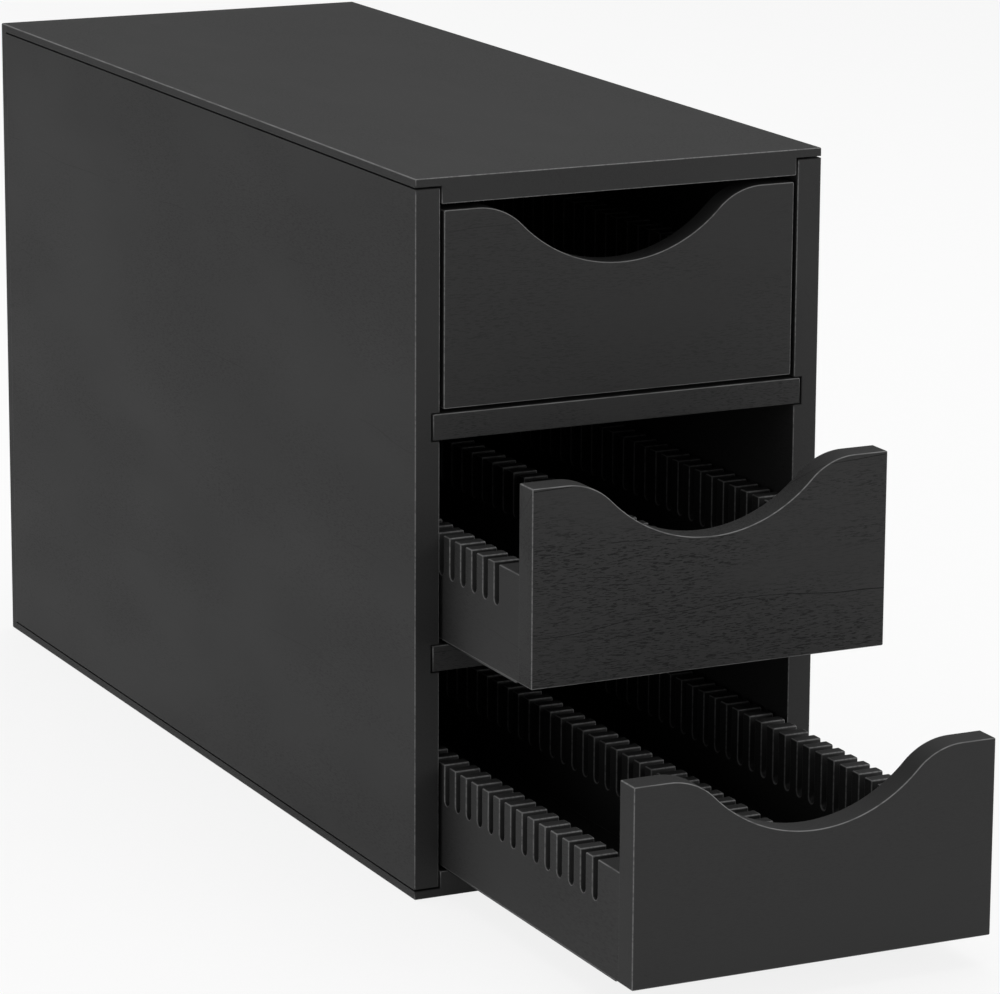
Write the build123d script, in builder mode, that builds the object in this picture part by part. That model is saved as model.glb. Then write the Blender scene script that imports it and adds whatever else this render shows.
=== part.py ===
"""A narrow countertop cabinet of thin wooden boards with three pull-out drawers.

Each drawer has a wave-cut front and three slotted combs, so that round-rimmed things stand on
edge in it in two columns.  Millimetres.  +X is to the right, +Y to the rear and +Z up.  The
origin is the centre of the cabinet's underside.  The top drawer is shut, the middle one is
partly open and the bottom one is open further.
"""

import os
from math import acos, degrees, hypot

from build123d import *

# ---- driving dimensions ---------------------------------------------------------------------

# cabinet
cabinet_width = 152.5
cabinet_depth = 390.0
cabinet_height = 248.0
cabinet_board = 9.0
back_board = 5.0
rabbet_lip = 3.0            # what the top and bottom boards keep over the side panels' ends
dado_depth = 3.0            # how far a shelf is let into the side panels

# drawers
drawer_width = 131.5
drawer_board = 9.5
front_height = 67.0
rear_clearance = 0.5        # between a shut drawer and the back board
pull_out = {"bottom": 140.0, "middle": 67.0, "top": 0.0}

# the wave in the top edge of a drawer front
wave_depth = 22.3
dip_radius = 52.0
shoulder_radius = 23.0

# combs, spaced for a thin round rim that stands on the drawer's floor
rim_radius = 31.0
slot_count = 40
slot_pitch = 8.5
slot_width = 3.6
slot_corner = 1.05          # the cutter's round corners on a slot's floor, as flats
outer_slot_depth = 14.0     # on the outer face of a side wall
inner_slot_depth = 19.5     # on its inner face, where the rim passes lower
centre_slot_depth = 16.0

# drawer joinery
floor_board = 3.0
floor_lift = 2.5            # the floor's underside above the bottom edge of the drawer
housing_depth = 3.2         # grooves, rabbets and housings
dowel_radius = 3.0
dowel_in_front = 6.0
dowel_in_wall = 12.0
dowel_height = 19.0

# low-friction strips that a drawer slides on
glide_thickness = 1.5
glide_width = 6.0
glide_setback = 5.0         # from the rear of the front board and from the drawer's rear end

# pins that hold the back board to the side panels while the glue sets
pin_radius = 0.8
pin_length = 20.0
pin_spacing = 188.0         # between the two in a side panel

# ---- worked-out sizes -----------------------------------------------------------------------

front_y = -cabinet_depth / 2
carcass_depth = cabinet_depth - back_board
outer_x = cabinet_width / 2
inner_x = outer_x - cabinet_board
bay_height = (cabinet_height - 4 * cabinet_board) / 3
shelf_pitch = bay_height + cabinet_board
bay_floor = {
    "bottom": cabinet_board,
    "middle": cabinet_board + shelf_pitch,
    "top": cabinet_board + 2 * shelf_pitch,
}

wall_length = carcass_depth - rear_clearance - drawer_board
wall_middle = drawer_board + (wall_length - drawer_board) / 2
wall_outer_x = drawer_width / 2
wall_inner_x = wall_outer_x - drawer_board
floor_top = floor_lift + floor_board
wall_height = floor_top + rim_radius
housed_x = wall_inner_x + housing_depth
dowel_x = wall_outer_x - drawer_board / 2

# the boards of the cabinet run rearwards from this plane: X across, Y up
cabinet_front = Plane((0, front_y, 0), x_dir=(1, 0, 0), z_dir=(0, -1, 0))

# the pins' places on the rear of the boards: X across, Y up
pin_x = outer_x - cabinet_board / 2
pin_heights = ((cabinet_height - pin_spacing) / 2, (cabinet_height + pin_spacing) / 2)
pin_in_panel = pin_length - back_board

os.makedirs("parts", exist_ok=True)

# ---- cabinet --------------------------------------------------------------------------------

# The bottom board: a thin lip runs under each side panel, and the full thickness fills the
# space between them.
with BuildPart() as bottom_panel:
    with BuildSketch(cabinet_front):
        Rectangle(2 * outer_x, rabbet_lip, align=(Align.CENTER, Align.MIN))
        Rectangle(2 * inner_x, cabinet_board, align=(Align.CENTER, Align.MIN))
    extrude(amount=-carcass_depth)
bottom_panel.part.label = "bottom_panel"
export_step(bottom_panel.part, "parts/bottom_panel.step")

# The top board is the same board turned over.
with BuildPart() as top_panel:
    mirror(bottom_panel.part, about=Plane.XY.offset(cabinet_height / 2))
top_panel.part.label = "top_panel"
export_step(top_panel.part, "parts/top_panel.step")

# A side panel stands between the two lips, with a dado for each shelf on its inner face.
with BuildPart() as right_side_panel:
    with BuildSketch(cabinet_front):
        with Locations((inner_x, rabbet_lip)):
            Rectangle(
                cabinet_board,
                cabinet_height - 2 * rabbet_lip,
                align=(Align.MIN, Align.MIN),
            )
        with Locations((inner_x, bay_floor["middle"]), (inner_x, bay_floor["top"])):
            Rectangle(
                dado_depth,
                cabinet_board,
                align=(Align.MIN, Align.MAX),
                mode=Mode.SUBTRACT,
            )
    extrude(amount=-carcass_depth)
    with BuildSketch(cabinet_front.offset(-carcass_depth)):
        with Locations(*[(pin_x, height) for height in pin_heights]):
            Circle(pin_radius)
    extrude(amount=pin_in_panel, mode=Mode.SUBTRACT)
right_side_panel.part.label = "right_side_panel"
export_step(right_side_panel.part, "parts/right_side_panel.step")

with BuildPart() as left_side_panel:
    mirror(right_side_panel.part, about=Plane.YZ)
left_side_panel.part.label = "left_side_panel"
export_step(left_side_panel.part, "parts/left_side_panel.step")

# The shelves, flush with the front and housed in the dados.
for name, bay_above in (("lower_shelf", "middle"), ("upper_shelf", "top")):
    with BuildPart() as shelf:
        with BuildSketch(cabinet_front):
            with Locations((0, bay_floor[bay_above])):
                Rectangle(
                    2 * (inner_x + dado_depth),
                    cabinet_board,
                    align=(Align.CENTER, Align.MAX),
                )
        extrude(amount=-carcass_depth)
    shelf.part.label = name
    export_step(shelf.part, f"parts/{name}.step")

# The back board covers the whole rear, and is glued and pinned to the boards in front of it.
pin_places = [(x, height) for x in (-pin_x, pin_x) for height in pin_heights]
with BuildPart() as back_panel:
    with BuildSketch(cabinet_front.offset(-carcass_depth)):
        Rectangle(cabinet_width, cabinet_height, align=(Align.CENTER, Align.MIN))
        with Locations(*pin_places):
            Circle(pin_radius, mode=Mode.SUBTRACT)
    extrude(amount=-back_board)
back_panel.part.label = "back_panel"
export_step(back_panel.part, "parts/back_panel.step")

with BuildPart() as back_pins:
    with BuildSketch(cabinet_front.offset(-cabinet_depth)):
        with Locations(*pin_places):
            Circle(pin_radius)
    extrude(amount=pin_length)
back_pins.part.label = "back_pins"
export_step(back_pins.part, "parts/back_pins.step")

# ---- drawers --------------------------------------------------------------------------------
#
# Each piece of a drawer is drawn on planes that pass through the drawer's own origin: the
# middle of the bottom edge of its front's outer face.  On the front plane X runs across and Y
# up, and on the side plane X runs rearwards and Y up.

dowel_places = [(-dowel_x, dowel_height), (dowel_x, dowel_height)]


def front_plane(drawer, setback=0.0):
    """The plane of a drawer's front face, or one that lies further to the rear."""
    origin = (0, front_y - pull_out[drawer] + setback, bay_floor[drawer] + glide_thickness)
    return Plane(origin, x_dir=(1, 0, 0), z_dir=(0, -1, 0))


def side_plane(drawer, x):
    """The plane across a drawer at x, seen from the right."""
    origin = (x, front_y - pull_out[drawer], bay_floor[drawer] + glide_thickness)
    return Plane(origin, x_dir=(0, 1, 0), z_dir=(1, 0, 0))


def front_outline():
    """A board with a wave in its top edge: a dip between two shoulders, all tangent arcs.

    The centres of the dip and of a shoulder lie the sum of the two radii apart, which gives
    the angle that each shoulder turns through.
    """
    reach = dip_radius + shoulder_radius
    turn = degrees(acos((reach - wave_depth) / reach))
    shoulder_x = (reach**2 - (reach - wave_depth) ** 2) ** 0.5
    corner_x = drawer_width / 2
    with BuildSketch() as outline:
        with BuildLine():
            right_top = Line((corner_x, front_height), (shoulder_x, front_height))
            right_shoulder = JernArc(right_top @ 1, right_top % 1, shoulder_radius, turn)
            dip = JernArc(right_shoulder @ 1, right_shoulder % 1, dip_radius, -2 * turn)
            left_shoulder = JernArc(dip @ 1, dip % 1, shoulder_radius, turn)
            Polyline(
                left_shoulder @ 1,
                (-corner_x, front_height),
                (-corner_x, 0),
                (corner_x, 0),
                (corner_x, front_height),
            )
        make_face()
    return outline.sketch


def cut_housings():
    """On a front plane, the recesses that hold the floor's end and the centre comb's end."""
    with Locations((0, floor_lift)):
        Rectangle(2 * housed_x, floor_board, align=(Align.CENTER, Align.MIN))
    with Locations((0, floor_top)):
        Rectangle(drawer_board, wall_height - floor_top, align=(Align.CENTER, Align.MIN))


def slot_row(depth, corner):
    """On a side plane, a row of slots that are open at the top of a wall."""
    with BuildSketch() as row:
        with Locations((wall_middle, wall_height - depth)):
            with GridLocations(slot_pitch, 0, slot_count, 1):
                Rectangle(slot_width, wall_height, align=(Align.CENTER, Align.MIN))
        if corner > 0:
            chamfer(row.vertices().group_by(Axis.Y)[0], corner)
    return row.sketch


for drawer in pull_out:
    # The front: the wave is both the view of what is inside and the grip to pull by.
    with BuildPart() as front:
        with BuildSketch(front_plane(drawer)):
            add(front_outline())
        extrude(amount=-drawer_board)
        with BuildSketch(front_plane(drawer, drawer_board)):
            cut_housings()
        extrude(amount=housing_depth, mode=Mode.SUBTRACT)
        with BuildSketch(front_plane(drawer, drawer_board)):
            with Locations(*dowel_places):
                Circle(dowel_radius)
        extrude(amount=dowel_in_front, mode=Mode.SUBTRACT)
    front.part.label = f"{drawer}_front"
    export_step(front.part, f"parts/{drawer}_front.step")

    # A side wall is a comb.  Its slots are sawn with a falling floor, because the rim that
    # stands in them is lower at the wall's inner face than at its outer one.
    slot_fall = inner_slot_depth - outer_slot_depth
    with BuildPart() as left_comb:
        with BuildSketch(front_plane(drawer, drawer_board)):
            with Locations((-wall_outer_x, 0)):
                Rectangle(drawer_board, wall_height, align=(Align.MIN, Align.MIN))
            with Locations((-housed_x, floor_lift)):
                Rectangle(
                    housing_depth,
                    floor_board,
                    align=(Align.MIN, Align.MIN),
                    mode=Mode.SUBTRACT,
                )
        extrude(amount=-wall_length)
        # the rabbet for the drawer's back
        with BuildSketch(front_plane(drawer, drawer_board + wall_length)):
            with Locations((-housed_x, 0)):
                Rectangle(housing_depth, wall_height, align=(Align.MIN, Align.MIN))
        extrude(amount=drawer_board, mode=Mode.SUBTRACT)
        with BuildSketch(front_plane(drawer, drawer_board)):
            with Locations((-dowel_x, dowel_height)):
                Circle(dowel_radius)
        extrude(amount=-dowel_in_wall, mode=Mode.SUBTRACT)
        with BuildSketch(side_plane(drawer, -wall_outer_x)):
            add(slot_row(outer_slot_depth, slot_corner))
        extrude(
            amount=hypot(drawer_board, slot_fall),
            dir=(drawer_board, 0, -slot_fall),
            mode=Mode.SUBTRACT,
        )
    left_comb.part.label = f"{drawer}_left_comb"
    export_step(left_comb.part, f"parts/{drawer}_left_comb.step")

    with BuildPart() as right_comb:
        mirror(left_comb.part, about=Plane.YZ)
    right_comb.part.label = f"{drawer}_right_comb"
    export_step(right_comb.part, f"parts/{drawer}_right_comb.step")

    # The centre comb stands on the floor, with its ends let into the front and the back.
    with BuildPart() as centre_comb:
        with BuildSketch(side_plane(drawer, -drawer_board / 2)):
            with Locations((drawer_board - housing_depth, floor_top)):
                Rectangle(
                    wall_length - drawer_board + 2 * housing_depth,
                    wall_height - floor_top,
                    align=(Align.MIN, Align.MIN),
                )
            add(slot_row(centre_slot_depth, 0), mode=Mode.SUBTRACT)
        extrude(amount=drawer_board)
    centre_comb.part.label = f"{drawer}_centre_comb"
    export_step(centre_comb.part, f"parts/{drawer}_centre_comb.step")

    # The back, between the side walls.
    with BuildPart() as back:
        with BuildSketch(front_plane(drawer, wall_length)):
            Rectangle(2 * housed_x, wall_height, align=(Align.CENTER, Align.MIN))
        extrude(amount=-drawer_board)
        with BuildSketch(front_plane(drawer, wall_length)):
            cut_housings()
        extrude(amount=-housing_depth, mode=Mode.SUBTRACT)
    back.part.label = f"{drawer}_back"
    export_step(back.part, f"parts/{drawer}_back.step")

    # The floor is held in grooves on all four sides.
    with BuildPart() as floor:
        with BuildSketch(front_plane(drawer, drawer_board - housing_depth)):
            with Locations((0, floor_lift)):
                Rectangle(2 * housed_x, floor_board, align=(Align.CENTER, Align.MIN))
        extrude(amount=drawer_board - wall_length - 2 * housing_depth)
    floor.part.label = f"{drawer}_floor"
    export_step(floor.part, f"parts/{drawer}_floor.step")

    # A dowel joins the front to the end of each side wall.
    with BuildPart() as dowels:
        with BuildSketch(front_plane(drawer, drawer_board - dowel_in_front)):
            with Locations(*dowel_places):
                Circle(dowel_radius)
        extrude(amount=-dowel_in_front - dowel_in_wall)
    dowels.part.label = f"{drawer}_dowels"
    export_step(dowels.part, f"parts/{drawer}_dowels.step")

    # Two strips under the side walls carry the drawer and leave the gap below its front.
    with BuildPart() as glides:
        with BuildSketch(front_plane(drawer, drawer_board + glide_setback)):
            with Locations((-dowel_x, 0), (dowel_x, 0)):
                Rectangle(glide_width, glide_thickness, align=(Align.CENTER, Align.MAX))
        extrude(amount=2 * glide_setback - wall_length)
    glides.part.label = f"{drawer}_glides"
    export_step(glides.part, f"parts/{drawer}_glides.step")
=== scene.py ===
"""A narrow countertop cabinet of black-stained boards with three comb-sided drawers."""

import bpy
import numpy as np
from mathutils import Matrix, Vector


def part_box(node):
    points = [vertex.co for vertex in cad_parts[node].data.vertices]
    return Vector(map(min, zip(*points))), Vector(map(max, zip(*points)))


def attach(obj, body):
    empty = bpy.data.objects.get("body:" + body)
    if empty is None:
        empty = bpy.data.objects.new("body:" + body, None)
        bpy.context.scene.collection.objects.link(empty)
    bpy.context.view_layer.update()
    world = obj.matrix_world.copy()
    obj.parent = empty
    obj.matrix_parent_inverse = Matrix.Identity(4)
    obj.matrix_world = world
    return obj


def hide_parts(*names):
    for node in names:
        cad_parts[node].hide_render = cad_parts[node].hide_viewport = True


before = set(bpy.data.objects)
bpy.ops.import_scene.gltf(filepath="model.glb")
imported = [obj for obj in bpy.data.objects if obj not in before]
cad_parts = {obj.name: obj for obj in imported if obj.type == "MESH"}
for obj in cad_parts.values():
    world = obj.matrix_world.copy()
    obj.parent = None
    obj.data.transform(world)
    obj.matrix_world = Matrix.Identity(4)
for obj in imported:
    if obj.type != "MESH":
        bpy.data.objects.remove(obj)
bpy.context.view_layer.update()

# ---- top and bottom boards -------------------------------------------------------------------
# Two planed beech boards, stained black and lacquered.  Each is rabbeted along both sides: a
# thin lip covers the end of the side panel, and the full thickness fills the space between the
# panels.  A thin dark line shows where two boards meet.  Sanding has broken the other edges.

mm = 0.001
seam = 0.6 * mm
edge_radius = 0.4 * mm      # sanding leaves an edge this round
joint_radius = 0.06 * mm    # where an edge is planed flush with its neighbour

case_low, case_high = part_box("bottom_panel")
front_y, carcass_rear_y = case_low.y, case_high.y
outer_x, board = case_high.x, case_high.z
case_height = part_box("top_panel")[1].z
inner_x, _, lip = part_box("right_side_panel")[0]


def eased(outlines, radius, steps, crisp):
    """Round the outward corners of closed counter-clockwise outlines, apart from crisp ones.

    A corner that turns by an angle T from the unit direction a becomes an arc about the point
    radius to the left of both edges: centre + radius * (a sin(t T) - n cos(t T)), where n is a
    turned left and t runs from 0 to 1.
    Returns the outlines, sin(pi t) as the paler edge of each of their points (sanded wear and a
    painted highlight), and which points are open to it: all but crisp corners and inward ones.
    """
    came = outlines - np.roll(outlines, 1, axis=1)
    goes = np.roll(outlines, -1, axis=1) - outlines
    came = (came / np.linalg.norm(came, axis=2, keepdims=True))[:, :, None, :]
    goes = (goes / np.linalg.norm(goes, axis=2, keepdims=True))[:, :, None, :]
    left = np.stack([-came[..., 1], came[..., 0]], axis=3)
    turn = np.arctan2((left * goes).sum(axis=3), (came * goes).sum(axis=3))[..., None]
    is_corner = (turn > np.radians(60)) & ~np.asarray(crisp)[:, None, None]
    t = np.linspace(0, 1, steps + 1)[:, None]
    centre = outlines[:, :, None, :] + radius * (left - np.tan(turn / 2) * came)
    arc = centre + radius * (came * np.sin(t * turn) - left * np.cos(t * turn))
    curve = np.where(is_corner, arc, outlines[:, :, None, :])
    is_corner, turn = is_corner[0, :, :, 0], turn[0, :, :, 0]
    kept = is_corner | (t[:, 0] == 0)
    wear_and_highlight = np.where(is_corner, np.sin(np.pi * t[:, 0]), 0)
    is_open = np.broadcast_to(is_corner | (np.abs(turn) < np.radians(60)), kept.shape)
    return curve[:, kept], wear_and_highlight[kept], is_open[kept]


def inset(rings, distances):
    """Move the points of each ring inwards by its distance, along the mitre of their edges."""
    along = np.roll(rings, -1, axis=1) - rings
    along = along / np.linalg.norm(along, axis=2, keepdims=True)
    inward = np.stack([-along[..., 1], along[..., 0]], axis=2)
    before = np.roll(inward, 1, axis=1)
    mitre = (before + inward) / (1 + (before * inward).sum(axis=2, keepdims=True))
    return rings + distances[:, None, None] * mitre


def board_along(name, axes, outline, ends, far_outline=None, radii=None, steps=3, crisp=False):
    """A piece of wood: a closed outline carried straight between two ends, its edges rounded.

    The outline lies on the first two axes, and the ends on the third.  Within a radius r of an
    end, the ring at angle q stands r (1 - cos q) from it and is inset by r (1 - sin q), for q
    from 0 to 90 degrees.  The outline changes steadily into the far outline, if there is one.
    The radii belong to the two ends, and the points marked crisp keep their corner and get
    no paler edge, neither sanded wear nor painted highlight.
    """
    near_radius, far_radius = radii or (edge_radius, edge_radius)
    pair = np.array([outline, outline if far_outline is None else far_outline], float)
    crisp = np.broadcast_to(crisp, pair.shape[1])
    corner_radius = 1.25 * max(near_radius, far_radius)
    (near, far), corner_wear_and_highlight, is_open = eased(pair, corner_radius, steps, crisp)
    q = np.linspace(0, np.pi / 2, steps + 1)
    rise, cut = 1 - np.cos(q), 1 - np.sin(q)
    station = np.concatenate([ends[0] + near_radius * rise, (ends[1] - far_radius * rise)[::-1]])
    share = ((station - ends[0]) / (ends[1] - ends[0]))[:, None, None]
    rings = inset(
        near + share * (far - near),
        np.concatenate([near_radius * cut, (far_radius * cut)[::-1]]),
    )
    count, length, _ = rings.shape

    points = np.empty((count, length, 3))
    first, second, third = ("xyz".index(axis) for axis in axes)
    points[..., first], points[..., second] = rings[..., 0], rings[..., 1]
    points[..., third] = station[:, None]

    ring = np.arange(count - 1)[:, None] * length
    here = np.arange(length)[None, :]
    there = (here + 1) % length
    quads = np.stack(
        [ring + here, ring + there, ring + there + length, ring + here + length], axis=2
    )
    faces = quads.reshape(-1, 4).tolist()
    faces += [here[0, ::-1].tolist(), (here[0] + (count - 1) * length).tolist()]
    if axes in ("xzy", "yxz", "zyx"):   # a left-handed order turns the faces over
        faces = [face[::-1] for face in faces]

    q = np.concatenate([q, q[::-1]])[:, None]
    # The paler edge is sanded wear and a painted highlight; it peaks half way round each rounded
    # edge.
    wear_and_highlight = np.maximum(np.sin(2 * q) * is_open, np.sin(q) * corner_wear_and_highlight)
    mesh = bpy.data.meshes.new(name)
    mesh.from_pydata(points.reshape(-1, 3).tolist(), [], faces)
    mesh.attributes.new("wear_and_highlight", "FLOAT", "POINT").data.foreach_set("value", wear_and_highlight.ravel())
    mesh.shade_smooth()
    mesh.set_sharp_from_angle(angle=np.radians(50))
    piece = bpy.data.objects.new(name, mesh)
    bpy.context.scene.collection.objects.link(piece)
    normals = piece.modifiers.new("Flat faces", "WEIGHTED_NORMAL")
    normals.weight, normals.keep_sharp = 100, True
    return piece


def beside_seam(section):
    """Which corners of a section border the dark line, and so stay sharp, unworn and unhighlit."""
    height = np.minimum(section[:, 1], case_height - section[:, 1])
    return np.abs(height - lip) < 1.5 * seam


def rectangle(left, right, low, high):
    """The corners of an upright rectangle, counter-clockwise from the lower left."""
    return np.array([(left, low), (right, low), (right, high), (left, high)])


def colour(hex_code, factor=1.0):
    """An sRGB hex code as linear red, green, blue and alpha."""
    code = hex_code.lstrip("#")
    value = np.array([int(code[i:i + 2], 16) for i in (0, 2, 4)]) / 255
    linear = np.where(value <= 0.04045, value / 12.92, ((value + 0.055) / 1.055) ** 2.4)
    return (*(factor * linear).tolist(), 1.0)


def add(tree, kind, inputs, **settings):
    """Add a shader node with these settings, and set or link its inputs."""
    node = tree.nodes.new("ShaderNode" + kind)
    for key, value in settings.items():
        setattr(node, key, value)
    for key, value in inputs.items():
        if isinstance(value, bpy.types.NodeSocket):
            tree.links.new(value, node.inputs[key])
        else:
            node.inputs[key].default_value = value
    return node.outputs


crack_spacing = 47 * mm
crack_width = 0.22 * mm


def stained_beech(name, grain, shift, pores, face="#303030"):
    """Planed beech under black stain and matt lacquer, with its grain along one axis.

    The eye sees an even soft black that drifts a little where the wood took more or less
    stain, short dark pores and a few long fine cracks along the grain, and paler edges that are
    partly sanded wear and partly a painted highlight.
    """
    material = bpy.data.materials.new(name)
    material.use_nodes = True
    tree = material.node_tree
    shader = tree.nodes["Principled BSDF"]
    place = add(tree, "TexCoord", {})["Object"]

    # Each pattern: its width across the grain and length along it in mm, its detail, and the
    # levels of the noise that become 0 and 1.
    rare = 0.56 - 0.25 * pores
    noise, share = {}, {}
    for key, width, length, detail, low, high in (
        ("cloud", 45, 110, 3.0, 0.30, 0.70),
        ("fibre", 0.5, 6, 3.0, 0.35, 0.65),
        ("open grain", 34, 80, 2.0, 0.38, 0.58),
        ("pore", 0.28, 2.2, 2.0, 0.52, 0.62),
        ("bend", 60, 90, 1.5, 0.00, 1.00),
        ("broken", 14, 60, 3.0, rare, rare + 0.1),
        ("edge patches", 1.2, 9, 3.0, 0.30, 0.60),
    ):
        size = [width, width, width]
        size["xyz".index(grain)] = length
        stretched = add(
            tree,
            "Mapping",
            {
                "Vector": place,
                "Location": (shift, 1.7 * shift, 2.3 * shift),
                "Scale": [1 / (mm * side) for side in size],
            },
        )["Vector"]
        noise[key] = add(
            tree, "TexNoise", {"Vector": stretched, "Scale": 1.0, "Detail": detail}
        )["Fac"]
        share[key] = add(
            tree,
            "MapRange",
            {"Value": noise[key], "From Min": low, "From Max": high},
            interpolation_type="SMOOTHSTEP",
        )["Result"]

    # Cracks are thin lines a fixed way apart across the grain, which wander and break off;
    # pores gather where the grain is open.
    across = [1 / crack_spacing] * 3
    across["xyz".index(grain)] = 0
    lines = add(tree, "VectorMath", {0: place, 1: across}, operation="DOT_PRODUCT")["Value"]
    lines = add(tree, "Math", {0: noise["bend"], 1: 0.5, 2: lines}, operation="MULTIPLY_ADD")[0]
    lines = add(tree, "Math", {0: lines, 1: 0.5}, operation="PINGPONG")[0]
    crack = add(
        tree, "Math", {0: lines, 1: 0.5 * crack_width / crack_spacing}, operation="LESS_THAN"
    )[0]
    crack = add(tree, "Math", {0: crack, 1: share["broken"]}, operation="MULTIPLY")[0]
    dense = add(
        tree, "MapRange", {"Value": share["open grain"], "To Min": 0.15, "To Max": 0.8}
    )["Result"]
    pore = add(tree, "Math", {0: share["pore"], 1: dense}, operation="MULTIPLY")[0]
    dark = add(tree, "Math", {0: crack, 1: pore}, operation="MAXIMUM")[0]
    dark = add(tree, "Math", {0: dark, 1: pores}, operation="MULTIPLY")[0]

    fibre = add(tree, "Math", {0: share["fibre"], 1: pores}, operation="MULTIPLY")[0]
    # The paler edges are partly sanded wear and partly a painted highlight, patchy along their
    # length.
    worn_and_highlit = add(tree, "Attribute", {}, attribute_name="wear_and_highlight")["Fac"]
    patchy = add(tree, "MapRange", {"Value": share["edge patches"], "To Min": 0.5})["Result"]
    worn_and_highlit = add(tree, "Math", {0: worn_and_highlit, 1: patchy}, operation="MULTIPLY")[0]
    tone = colour(face, 0.95)
    for amount, over in (
        (share["cloud"], colour(face, 1.05)),
        (fibre, colour(face, 1.12)),
        (dark, colour("#0c0c0c")),
        # a pale grey over the edges: sanded wear and a painted highlight
        (worn_and_highlit, colour("#868686")),
    ):
        tone = add(tree, "Mix", {0: amount, 6: tone, 7: over}, data_type="RGBA")[2]
    tree.links.new(tone, shader.inputs["Base Color"])

    matt = add(
        tree, "MapRange", {"Value": share["cloud"], "To Min": 0.60, "To Max": 0.66}
    )["Result"]
    matt = add(tree, "Math", {0: dark, 1: 0.25, 2: matt}, operation="MULTIPLY_ADD")[0]
    tree.links.new(matt, shader.inputs["Roughness"])
    shader.inputs["IOR"].default_value = 1.3

    height = add(tree, "Math", {0: noise["fibre"], 1: 0.02}, operation="MULTIPLY")[0]
    height = add(tree, "Math", {0: height, 1: dark}, operation="SUBTRACT")[0]
    relief = add(tree, "Bump", {"Height": height, "Strength": 1.0, "Distance": 0.03 * mm})
    tree.links.new(relief["Normal"], shader.inputs["Normal"])
    return material


long_grain = stained_beech("Black-stained beech, grain front to back", "y", 3.1, 0.25)

board_section = np.array([
    (-outer_x, 0),
    (outer_x, 0),
    (outer_x, lip),
    (inner_x - seam, lip),
    (inner_x - seam, board),
    (seam - inner_x, board),
    (seam - inner_x, lip),
    (-outer_x, lip),
])
carcass_ends = (front_y, carcass_rear_y)
open_at_front = (edge_radius, joint_radius)     # the rear ends meet the back board

for name, section in (
    ("bottom_panel", board_section),
    ("top_panel", (board_section * (1, -1) + (0, case_height))[::-1]),
):
    panel = board_along(
        f"{name}_planed",
        "xzy",
        section,
        carcass_ends,
        radii=open_at_front,
        crisp=beside_seam(section),
    )
    panel.data.materials.append(long_grain)
    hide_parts(name)
    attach(panel, "cabinet")

# ---- side panels -----------------------------------------------------------------------------
# The same boards on edge, glued between the two lips.  A dado across the inner face holds the
# end of each shelf, a little roomier than the shelf, as the dark line round it shows.

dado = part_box("upper_shelf")[1].x - inner_x
shelf_heights = [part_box(shelf) for shelf in ("lower_shelf", "upper_shelf")]
clearance = 0.35 * mm

pale_edge_from = 1.0 * mm      # the edges are paler from this far off a dark line: sanded wear and a painted highlight
side_low, side_high = lip + seam, case_height - lip - seam
side_section = [
    (outer_x, side_low),
    (outer_x, side_low + pale_edge_from),
    (outer_x, side_high - pale_edge_from),
    (outer_x, side_high),
    (inner_x, side_high),
    (inner_x, side_high - pale_edge_from),
]
for shelf_low, shelf_high in reversed(shelf_heights):
    dado_low, dado_high = shelf_low.z - clearance, shelf_high.z + clearance
    side_section += [
        (inner_x, dado_high + pale_edge_from),
        (inner_x, dado_high),
        (inner_x + dado, dado_high),
        (inner_x + dado, dado_low),
        (inner_x, dado_low),
        (inner_x, dado_low - pale_edge_from),
    ]
side_section += [(inner_x, side_low + pale_edge_from), (inner_x, side_low)]
side_section = np.array(side_section)


def in_dado(section):
    """Which points of a section lie in or on the edge of a dado."""
    z = section[:, 1, None]
    low, high = np.array([(low.z, high.z) for low, high in shelf_heights]).T
    return ((z > low - 2 * clearance) & (z < high + 2 * clearance)).any(axis=1)


for name, section in (
    ("right_side_panel", side_section),
    ("left_side_panel", (side_section * (-1, 1))[::-1]),
):
    panel = board_along(
        f"{name}_planed",
        "xzy",
        section,
        carcass_ends,
        radii=open_at_front,
        crisp=beside_seam(section) | in_dado(section),
    )
    panel.data.materials.append(long_grain)
    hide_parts(name)
    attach(panel, "cabinet")

# ---- shelves ---------------------------------------------------------------------------------
# Two boards that part the cabinet into three bays.  Their grain runs across, so their front
# edges show long grain with more open pores than the panels have.  Only the upper edge is paler,
# a painted highlight where the light from above falls on it.

cross_grain = stained_beech("Black-stained beech, grain side to side", "x", 8.4, 0.6)
highlight_height = 0.6 * mm      # how far down an end the painted highlight of the upper edge reaches

for name, (shelf_low, shelf_high) in zip(("lower_shelf", "upper_shelf"), shelf_heights):
    half = inner_x + dado - seam
    highlight_from = shelf_high.z - highlight_height
    shelf_section = np.array([
        (-half, shelf_low.z),
        (half, shelf_low.z),
        (half, highlight_from),
        (half, shelf_high.z),
        (-half, shelf_high.z),
        (-half, highlight_from),
    ])
    shelf = board_along(
        f"{name}_planed",
        "xzy",
        shelf_section,
        carcass_ends,
        radii=open_at_front,
        crisp=shelf_section[:, 1] < shelf_high.z,
    )
    shelf.data.materials.append(cross_grain)
    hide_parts(name)
    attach(shelf, "cabinet")

# ---- back board ------------------------------------------------------------------------------
# One thin board over the whole rear, glued and pinned to the boards in front of it.  It is
# planed flush with them, so no line shows round it.

back_low, back_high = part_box("back_panel")
pins_proud = 0.1 * mm

back_board = board_along(
    "back_panel_planed",
    "xzy",
    rectangle(back_low.x, back_high.x, back_low.z, back_high.z),
    (back_low.y, back_high.y - pins_proud),
    radii=(joint_radius, edge_radius),
)
back_board.data.materials.append(cross_grain)
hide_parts("back_panel")
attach(back_board, "cabinet")


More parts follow.
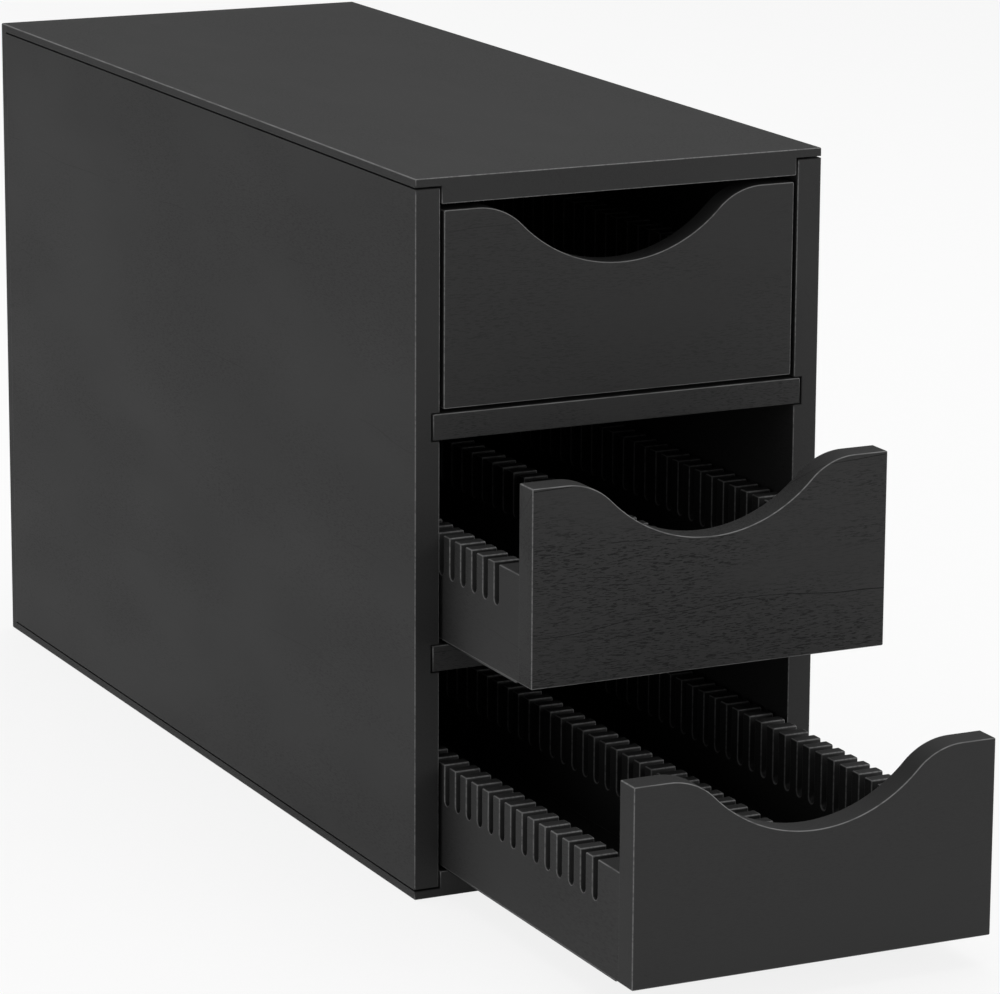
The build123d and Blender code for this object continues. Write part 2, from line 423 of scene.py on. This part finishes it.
def drawn_steel(name):
    """Bright drawn wire, which shows fine scratches along its length."""
    material = bpy.data.materials.new(name)
    material.use_nodes = True
    tree = material.node_tree
    shader = tree.nodes["Principled BSDF"]
    shader.inputs["Metallic"].default_value = 1.0
    place = add(tree, "TexCoord", {})["Object"]
    stretched = add(
        tree, "Mapping", {"Vector": place, "Scale": (1 / (0.1 * mm), 1 / (6 * mm), 1 / (0.1 * mm))}
    )["Vector"]
    scratches = add(tree, "TexNoise", {"Vector": stretched, "Scale": 1.0, "Detail": 2.0})["Fac"]
    tone = add(
        tree,
        "Mix",
        {0: scratches, 6: colour("#8f8d89"), 7: colour("#b9b7b2")},
        data_type="RGBA",
    )[2]
    tree.links.new(tone, shader.inputs["Base Color"])
    rough = add(
        tree, "MapRange", {"Value": scratches, "To Min": 0.28, "To Max": 0.45}
    )["Result"]
    tree.links.new(rough, shader.inputs["Roughness"])
    return material


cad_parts["back_pins"].data.materials.clear()
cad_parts["back_pins"].data.materials.append(drawn_steel("Drawn steel wire"))

# ---- drawer fronts ---------------------------------------------------------------------------
# A board with a wave cut into its top edge, which is both the grip and the view of what is
# inside.  The grain runs across, and its ends are planed flush with the side walls.

front_grain = {"top": (5.2, 0.3), "middle": (8.4, 0.85), "bottom": (8.4, 0.15)}
drawer_board = 9.5 * mm
wave_depth = 22.3 * mm
dip_radius = 52.0 * mm
shoulder_radius = 23.0 * mm
rear_edge = 0.12 * mm       # barely broken, so that no groove shows where a side wall joins


def wave_front(half_width, low, high):
    """A rectangle whose top edge dips between two shoulders, all of them tangent arcs.

    The centres of the dip and of a shoulder lie dip_radius + shoulder_radius apart, so each
    shoulder turns through the angle whose cosine is 1 - wave_depth / that distance.
    """
    reach = dip_radius + shoulder_radius
    turn = np.arccos(1 - wave_depth / reach)
    shoulder_x = reach * np.sin(turn)
    q = np.linspace(0, turn, 12)
    shoulder = np.column_stack([
        shoulder_x - shoulder_radius * np.sin(q),
        high - shoulder_radius * (1 - np.cos(q)),
    ])
    q = np.linspace(turn, -turn, 61)[1:-1]
    dip = np.column_stack([
        dip_radius * np.sin(q),
        high - wave_depth + dip_radius * (1 - np.cos(q)),
    ])
    corners = [(-half_width, low), (half_width, low), (half_width, high)]
    return np.concatenate([corners, shoulder, dip, shoulder[::-1] * (-1, 1), [(-half_width, high)]])


for drawer, (shift, pores) in front_grain.items():
    low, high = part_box(f"{drawer}_front")
    front = board_along(
        f"{drawer}_front_planed",
        "xzy",
        wave_front(high.x, low.z, high.z),
        (low.y, high.y),
        radii=(edge_radius, rear_edge),
    )
    front.data.materials.append(
        stained_beech(f"Black-stained beech, {drawer} front", "x", shift, pores)
    )
    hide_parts(f"{drawer}_front")
    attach(front, f"{drawer}_drawer")

# ---- combs -----------------------------------------------------------------------------------
# The side walls and the middle wall of a drawer, with forty sawn slots each.  The cutter leaves
# a round floor in every slot.  In a side wall it also cuts lower towards the inside.

slot_count = 40
slot_pitch = 8.5 * mm
slot_width = 3.6 * mm
outer_slot_depth = 14.0 * mm
inner_slot_depth = 19.5 * mm
centre_slot_depth = 16.0 * mm
comb_edge = 0.5 * mm
under_front = 0.6 * mm      # how far a wall's end runs on behind the front's edge
flush = 0.02 * mm           # keeps that end just inside the front's own end


def comb_outline(front, rear, low, high, row_middle, depth):
    """A rectangle with a row of slots in its top edge, each ending in a half circle.

    Slot k is centred at row_middle + (k - (slot_count - 1) / 2) * slot_pitch.  Its floor is
    the half circle of radius slot_width / 2 whose lowest point is depth below the top edge.
    """
    radius = slot_width / 2
    q = np.linspace(0, np.pi, 7)
    across = np.concatenate([[radius], radius * np.cos(q), [-radius]])
    up = np.concatenate([[high], high - depth + radius * (1 - np.sin(q)), [high]])
    k = np.arange(slot_count)[::-1, None]
    centre = row_middle + (k - (slot_count - 1) / 2) * slot_pitch
    slots = np.stack(np.broadcast_arrays(centre + across, up), axis=2).reshape(-1, 2)
    return np.concatenate([[(front, low), (rear, low), (rear, high)], slots, [(front, high)]])


for drawer in front_grain:
    front_rear_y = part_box(f"{drawer}_front")[1].y
    wall_low, wall_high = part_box(f"{drawer}_left_comb")
    back_front_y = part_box(f"{drawer}_back")[0].y
    row_middle = (front_rear_y + back_front_y) / 2

    wall = (front_rear_y - under_front, wall_high.y, wall_low.z, wall_high.z, row_middle)
    outer_face = comb_outline(*wall, outer_slot_depth)
    inner_face = comb_outline(*wall, inner_slot_depth)
    middle = (front_rear_y - under_front, back_front_y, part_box(f"{drawer}_centre_comb")[0].z)
    centre_face = comb_outline(*middle, wall_high.z, row_middle, centre_slot_depth)

    outside, inside = wall_low.x + flush, wall_high.x
    for side, ends, near_face, far_face in (
        ("left", (outside, inside), outer_face, inner_face),
        ("right", (-inside, -outside), inner_face, outer_face),
        ("centre", (-drawer_board / 2, drawer_board / 2), centre_face, centre_face),
    ):
        comb = board_along(
            f"{drawer}_{side}_comb_sawn",
            "yzx",
            near_face,
            ends,
            far_outline=far_face,
            radii=(comb_edge, comb_edge),
            steps=2,
        )
        comb.data.materials.append(long_grain)
        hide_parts(f"{drawer}_{side}_comb")
        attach(comb, f"{drawer}_drawer")

# ---- drawer backs ----------------------------------------------------------------------------
# A plain board between the rear ends of the side walls.

for drawer in front_grain:
    low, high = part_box(f"{drawer}_back")
    inside = -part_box(f"{drawer}_left_comb")[1].x
    back = board_along(
        f"{drawer}_back_planed",
        "xzy",
        rectangle(-inside, inside, low.z, high.z),
        (low.y, high.y),
        radii=(rear_edge, edge_radius),
    )
    back.data.materials.append(cross_grain)
    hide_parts(f"{drawer}_back")
    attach(back, f"{drawer}_drawer")

# ---- drawer floors ---------------------------------------------------------------------------
# Thin plywood in grooves on all four sides, stained like the boards.

for drawer in front_grain:
    floor_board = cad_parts[f"{drawer}_floor"]
    floor_board.data.materials.clear()
    floor_board.data.materials.append(long_grain)

# ---- dowels and glides -----------------------------------------------------------------------
# Fluted beech dowels join each front to its side walls and stay out of sight.  Two strips of
# black polyethylene under the side walls let a drawer slide easily.


def natural_beech(name):
    """Unstained beech, pale and pinkish with short brown flecks along the grain."""
    material = bpy.data.materials.new(name)
    material.use_nodes = True
    tree = material.node_tree
    shader = tree.nodes["Principled BSDF"]
    place = add(tree, "TexCoord", {})["Object"]
    stretched = add(
        tree, "Mapping", {"Vector": place, "Scale": (1 / (0.4 * mm), 1 / (4 * mm), 1 / (0.4 * mm))}
    )["Vector"]
    fleck = add(tree, "TexNoise", {"Vector": stretched, "Scale": 1.0, "Detail": 3.0})["Fac"]
    tone = add(
        tree,
        "Mix",
        {0: fleck, 6: colour("#a97f58"), 7: colour("#d8b48c")},
        data_type="RGBA",
    )[2]
    tree.links.new(tone, shader.inputs["Base Color"])
    rough = add(tree, "MapRange", {"Value": fleck, "To Min": 0.75, "To Max": 0.6})["Result"]
    tree.links.new(rough, shader.inputs["Roughness"])
    return material


def slick_plastic(name):
    """Skived black polyethylene tape, dull and a little greasy, with faint cutting lines."""
    material = bpy.data.materials.new(name)
    material.use_nodes = True
    tree = material.node_tree
    shader = tree.nodes["Principled BSDF"]
    place = add(tree, "TexCoord", {})["Object"]
    stretched = add(
        tree, "Mapping", {"Vector": place, "Scale": (1 / (0.8 * mm), 1 / (30 * mm), 1 / (0.8 * mm))}
    )["Vector"]
    lines = add(tree, "TexNoise", {"Vector": stretched, "Scale": 1.0, "Detail": 2.0})["Fac"]
    tone = add(
        tree,
        "Mix",
        {0: lines, 6: colour("#151515"), 7: colour("#202020")},
        data_type="RGBA",
    )[2]
    tree.links.new(tone, shader.inputs["Base Color"])
    rough = add(tree, "MapRange", {"Value": lines, "To Min": 0.35, "To Max": 0.5})["Result"]
    tree.links.new(rough, shader.inputs["Roughness"])
    return material


beech = natural_beech("Natural beech")
polyethylene = slick_plastic("Black polyethylene")
for drawer in front_grain:
    for part, material in (("dowels", beech), ("glides", polyethylene)):
        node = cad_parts[f"{drawer}_{part}"]
        node.data.materials.clear()
        node.data.materials.append(material)

# ---- camera ----------------------------------------------------------------------------------
# A long lens from the front left, a little above the cabinet, as in the photograph.

camera_data = bpy.data.cameras.new("Camera")
camera_data.sensor_fit = "HORIZONTAL"
camera_data.sensor_width = 36.0
camera_data.lens = 177.98
camera_data.clip_end = 50.0
camera = bpy.data.objects.new("Camera", camera_data)
camera.matrix_world = (
    Matrix.Translation((-0.749019, -1.644304, 0.529944))
    @ Matrix.Rotation(np.radians(-25.914), 4, "Z")
    @ Matrix.Rotation(np.radians(90 - 13.68), 4, "X")
    @ Matrix.Rotation(np.radians(0.311), 4, "Z")
)
bpy.context.scene.collection.objects.link(camera)
bpy.context.scene.camera = camera

# ---- studio ----------------------------------------------------------------------------------
# A wide white paper sweep, pale walls and four softboxes.  The one behind the cabinet draws the
# bright line along the top's left edge.

paper = bpy.data.materials.new("White paper sweep")
paper.use_nodes = True
tree = paper.node_tree
shader = tree.nodes["Principled BSDF"]
place = add(tree, "TexCoord", {})["Object"]
pulp = add(tree, "TexNoise", {"Vector": place, "Scale": 60.0, "Detail": 3.0})["Fac"]
tone = add(
    tree, "Mix", {0: pulp, 6: colour("#f7f7f7"), 7: colour("#fcfcfc")}, data_type="RGBA"
)[2]
tree.links.new(tone, shader.inputs["Base Color"])
shader.inputs["Roughness"].default_value = 0.9
glow = add(tree, "Emission", {"Color": (1, 1, 1, 1), "Strength": 1.0})["Emission"]
rays = add(tree, "LightPath", {})
seen = add(
    tree, "Math", {0: rays["Is Camera Ray"], 1: rays["Is Glossy Ray"]}, operation="MAXIMUM"
)["Value"]
seen = add(tree, "Math", {0: seen, 1: rays["Is Transmission Ray"]}, operation="MAXIMUM")["Value"]
seen = add(tree, "Math", {0: seen, 1: 0.85}, operation="MULTIPLY")["Value"]
mixed = add(tree, "MixShader", {0: seen, 1: shader.outputs["BSDF"], 2: glow})["Shader"]
tree.links.new(mixed, tree.nodes["Material Output"].inputs["Surface"])

floor_mesh = bpy.data.meshes.new("studio_floor")
floor_mesh.from_pydata([(-8, -8, 0), (8, -8, 0), (8, 8, 0), (-8, 8, 0)], [], [(0, 1, 2, 3)])
floor_mesh.materials.append(paper)
studio_floor = bpy.data.objects.new("studio_floor", floor_mesh)
bpy.context.scene.collection.objects.link(studio_floor)


def softbox(name, place, width, height, watts):
    """A white area light that faces the middle of the cabinet."""
    data = bpy.data.lights.new(name, "AREA")
    data.shape, data.size, data.size_y, data.energy = "RECTANGLE", width, height, watts
    light = bpy.data.objects.new(name, data)
    towards = Vector((0, 0, case_height / 2)) - Vector(place)
    light.matrix_world = (
        Matrix.Translation(place) @ towards.to_track_quat("-Z", "Y").to_matrix().to_4x4()
    )
    bpy.context.scene.collection.objects.link(light)


softbox("overhead softbox", (0.3, 0.2, 2.2), 2.2, 2.2, 33)
softbox("left softbox", (-2.3, -1.1, 0.6), 1.6, 1.6, 5.5)
softbox("rear softbox", (-0.8, 2.6, 1.2), 2.4, 1.0, 8.5)
softbox("right softbox", (1.8, -2.4, 0.9), 1.6, 1.6, 23)

world = bpy.data.worlds.new("Pale walls")
world.use_nodes = True
world.node_tree.nodes["Background"].inputs["Color"].default_value = colour("#ffffff")
world.node_tree.nodes["Background"].inputs["Strength"].default_value = 0.25
bpy.context.scene.world = world
bpy.context.scene.view_settings.view_transform = "Standard"
